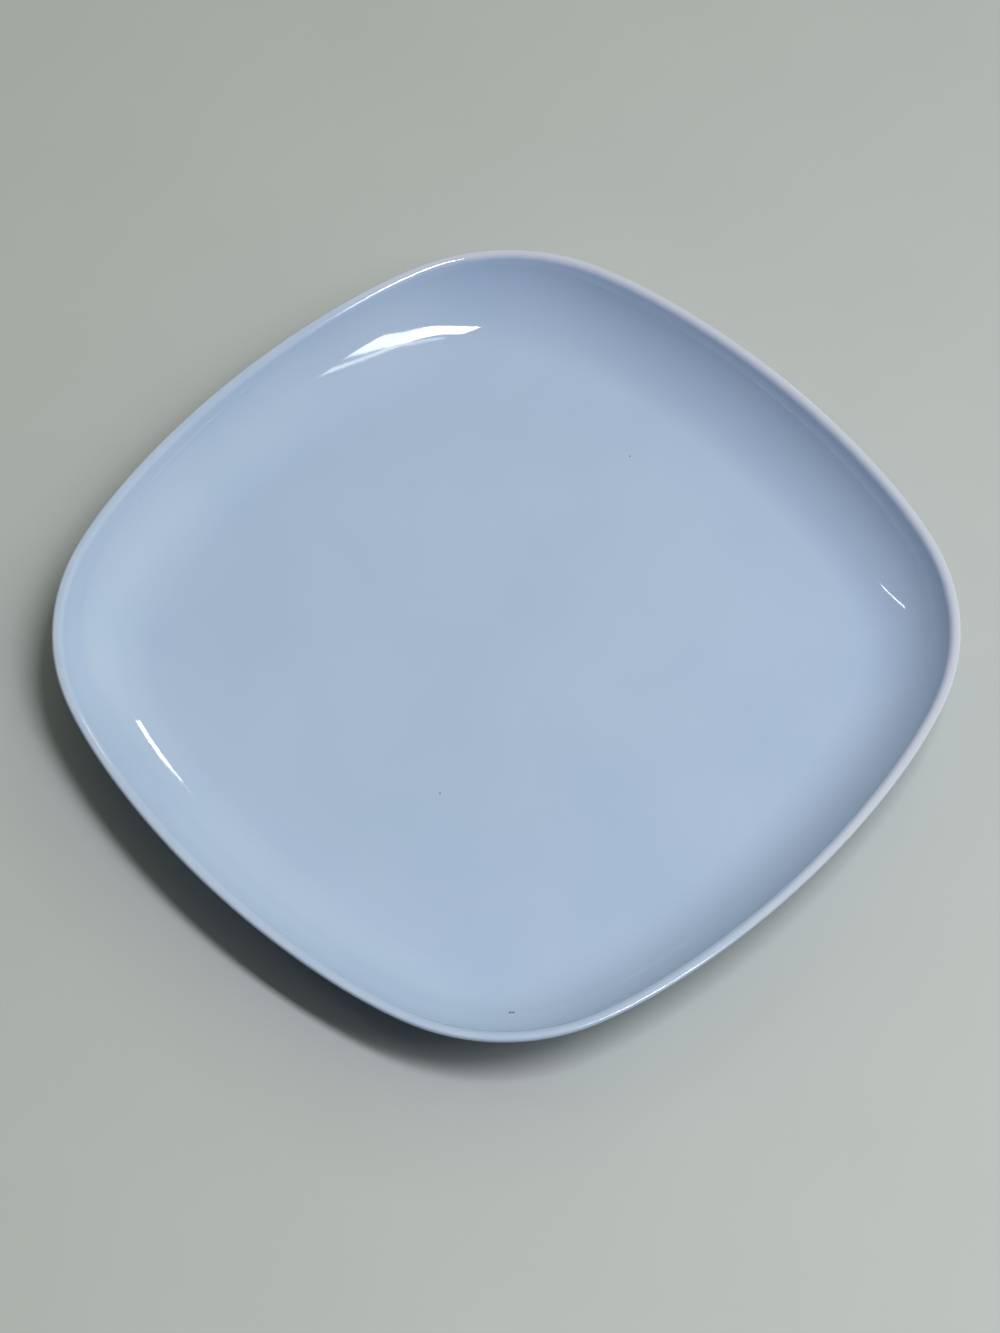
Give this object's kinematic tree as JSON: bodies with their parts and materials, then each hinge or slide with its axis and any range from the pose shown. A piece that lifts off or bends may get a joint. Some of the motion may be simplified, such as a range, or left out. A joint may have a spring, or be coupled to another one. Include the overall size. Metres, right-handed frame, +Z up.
{
  "type": "square dinner plate",
  "caption": "Square dinner plate with bowed sides, round corners and a low curved wall that runs up to a rounded lip, in glazed porcelain on a bare foot ring.",
  "frame": {"origin": "on the table, under the middle of the plate", "axes": "+Z up, with the sides facing +X, +Y, -X and -Y"},
  "size_m": [0.25, 0.25, 0.0256],
  "materials": {
    "porcelain": "matte",
    "glaze": "polished"
  },
  "bodies": {
    "root": {"porcelain_body": "porcelain", "outer_glaze": "glaze", "base_glaze": "glaze"}
  },
  "joints": []
}
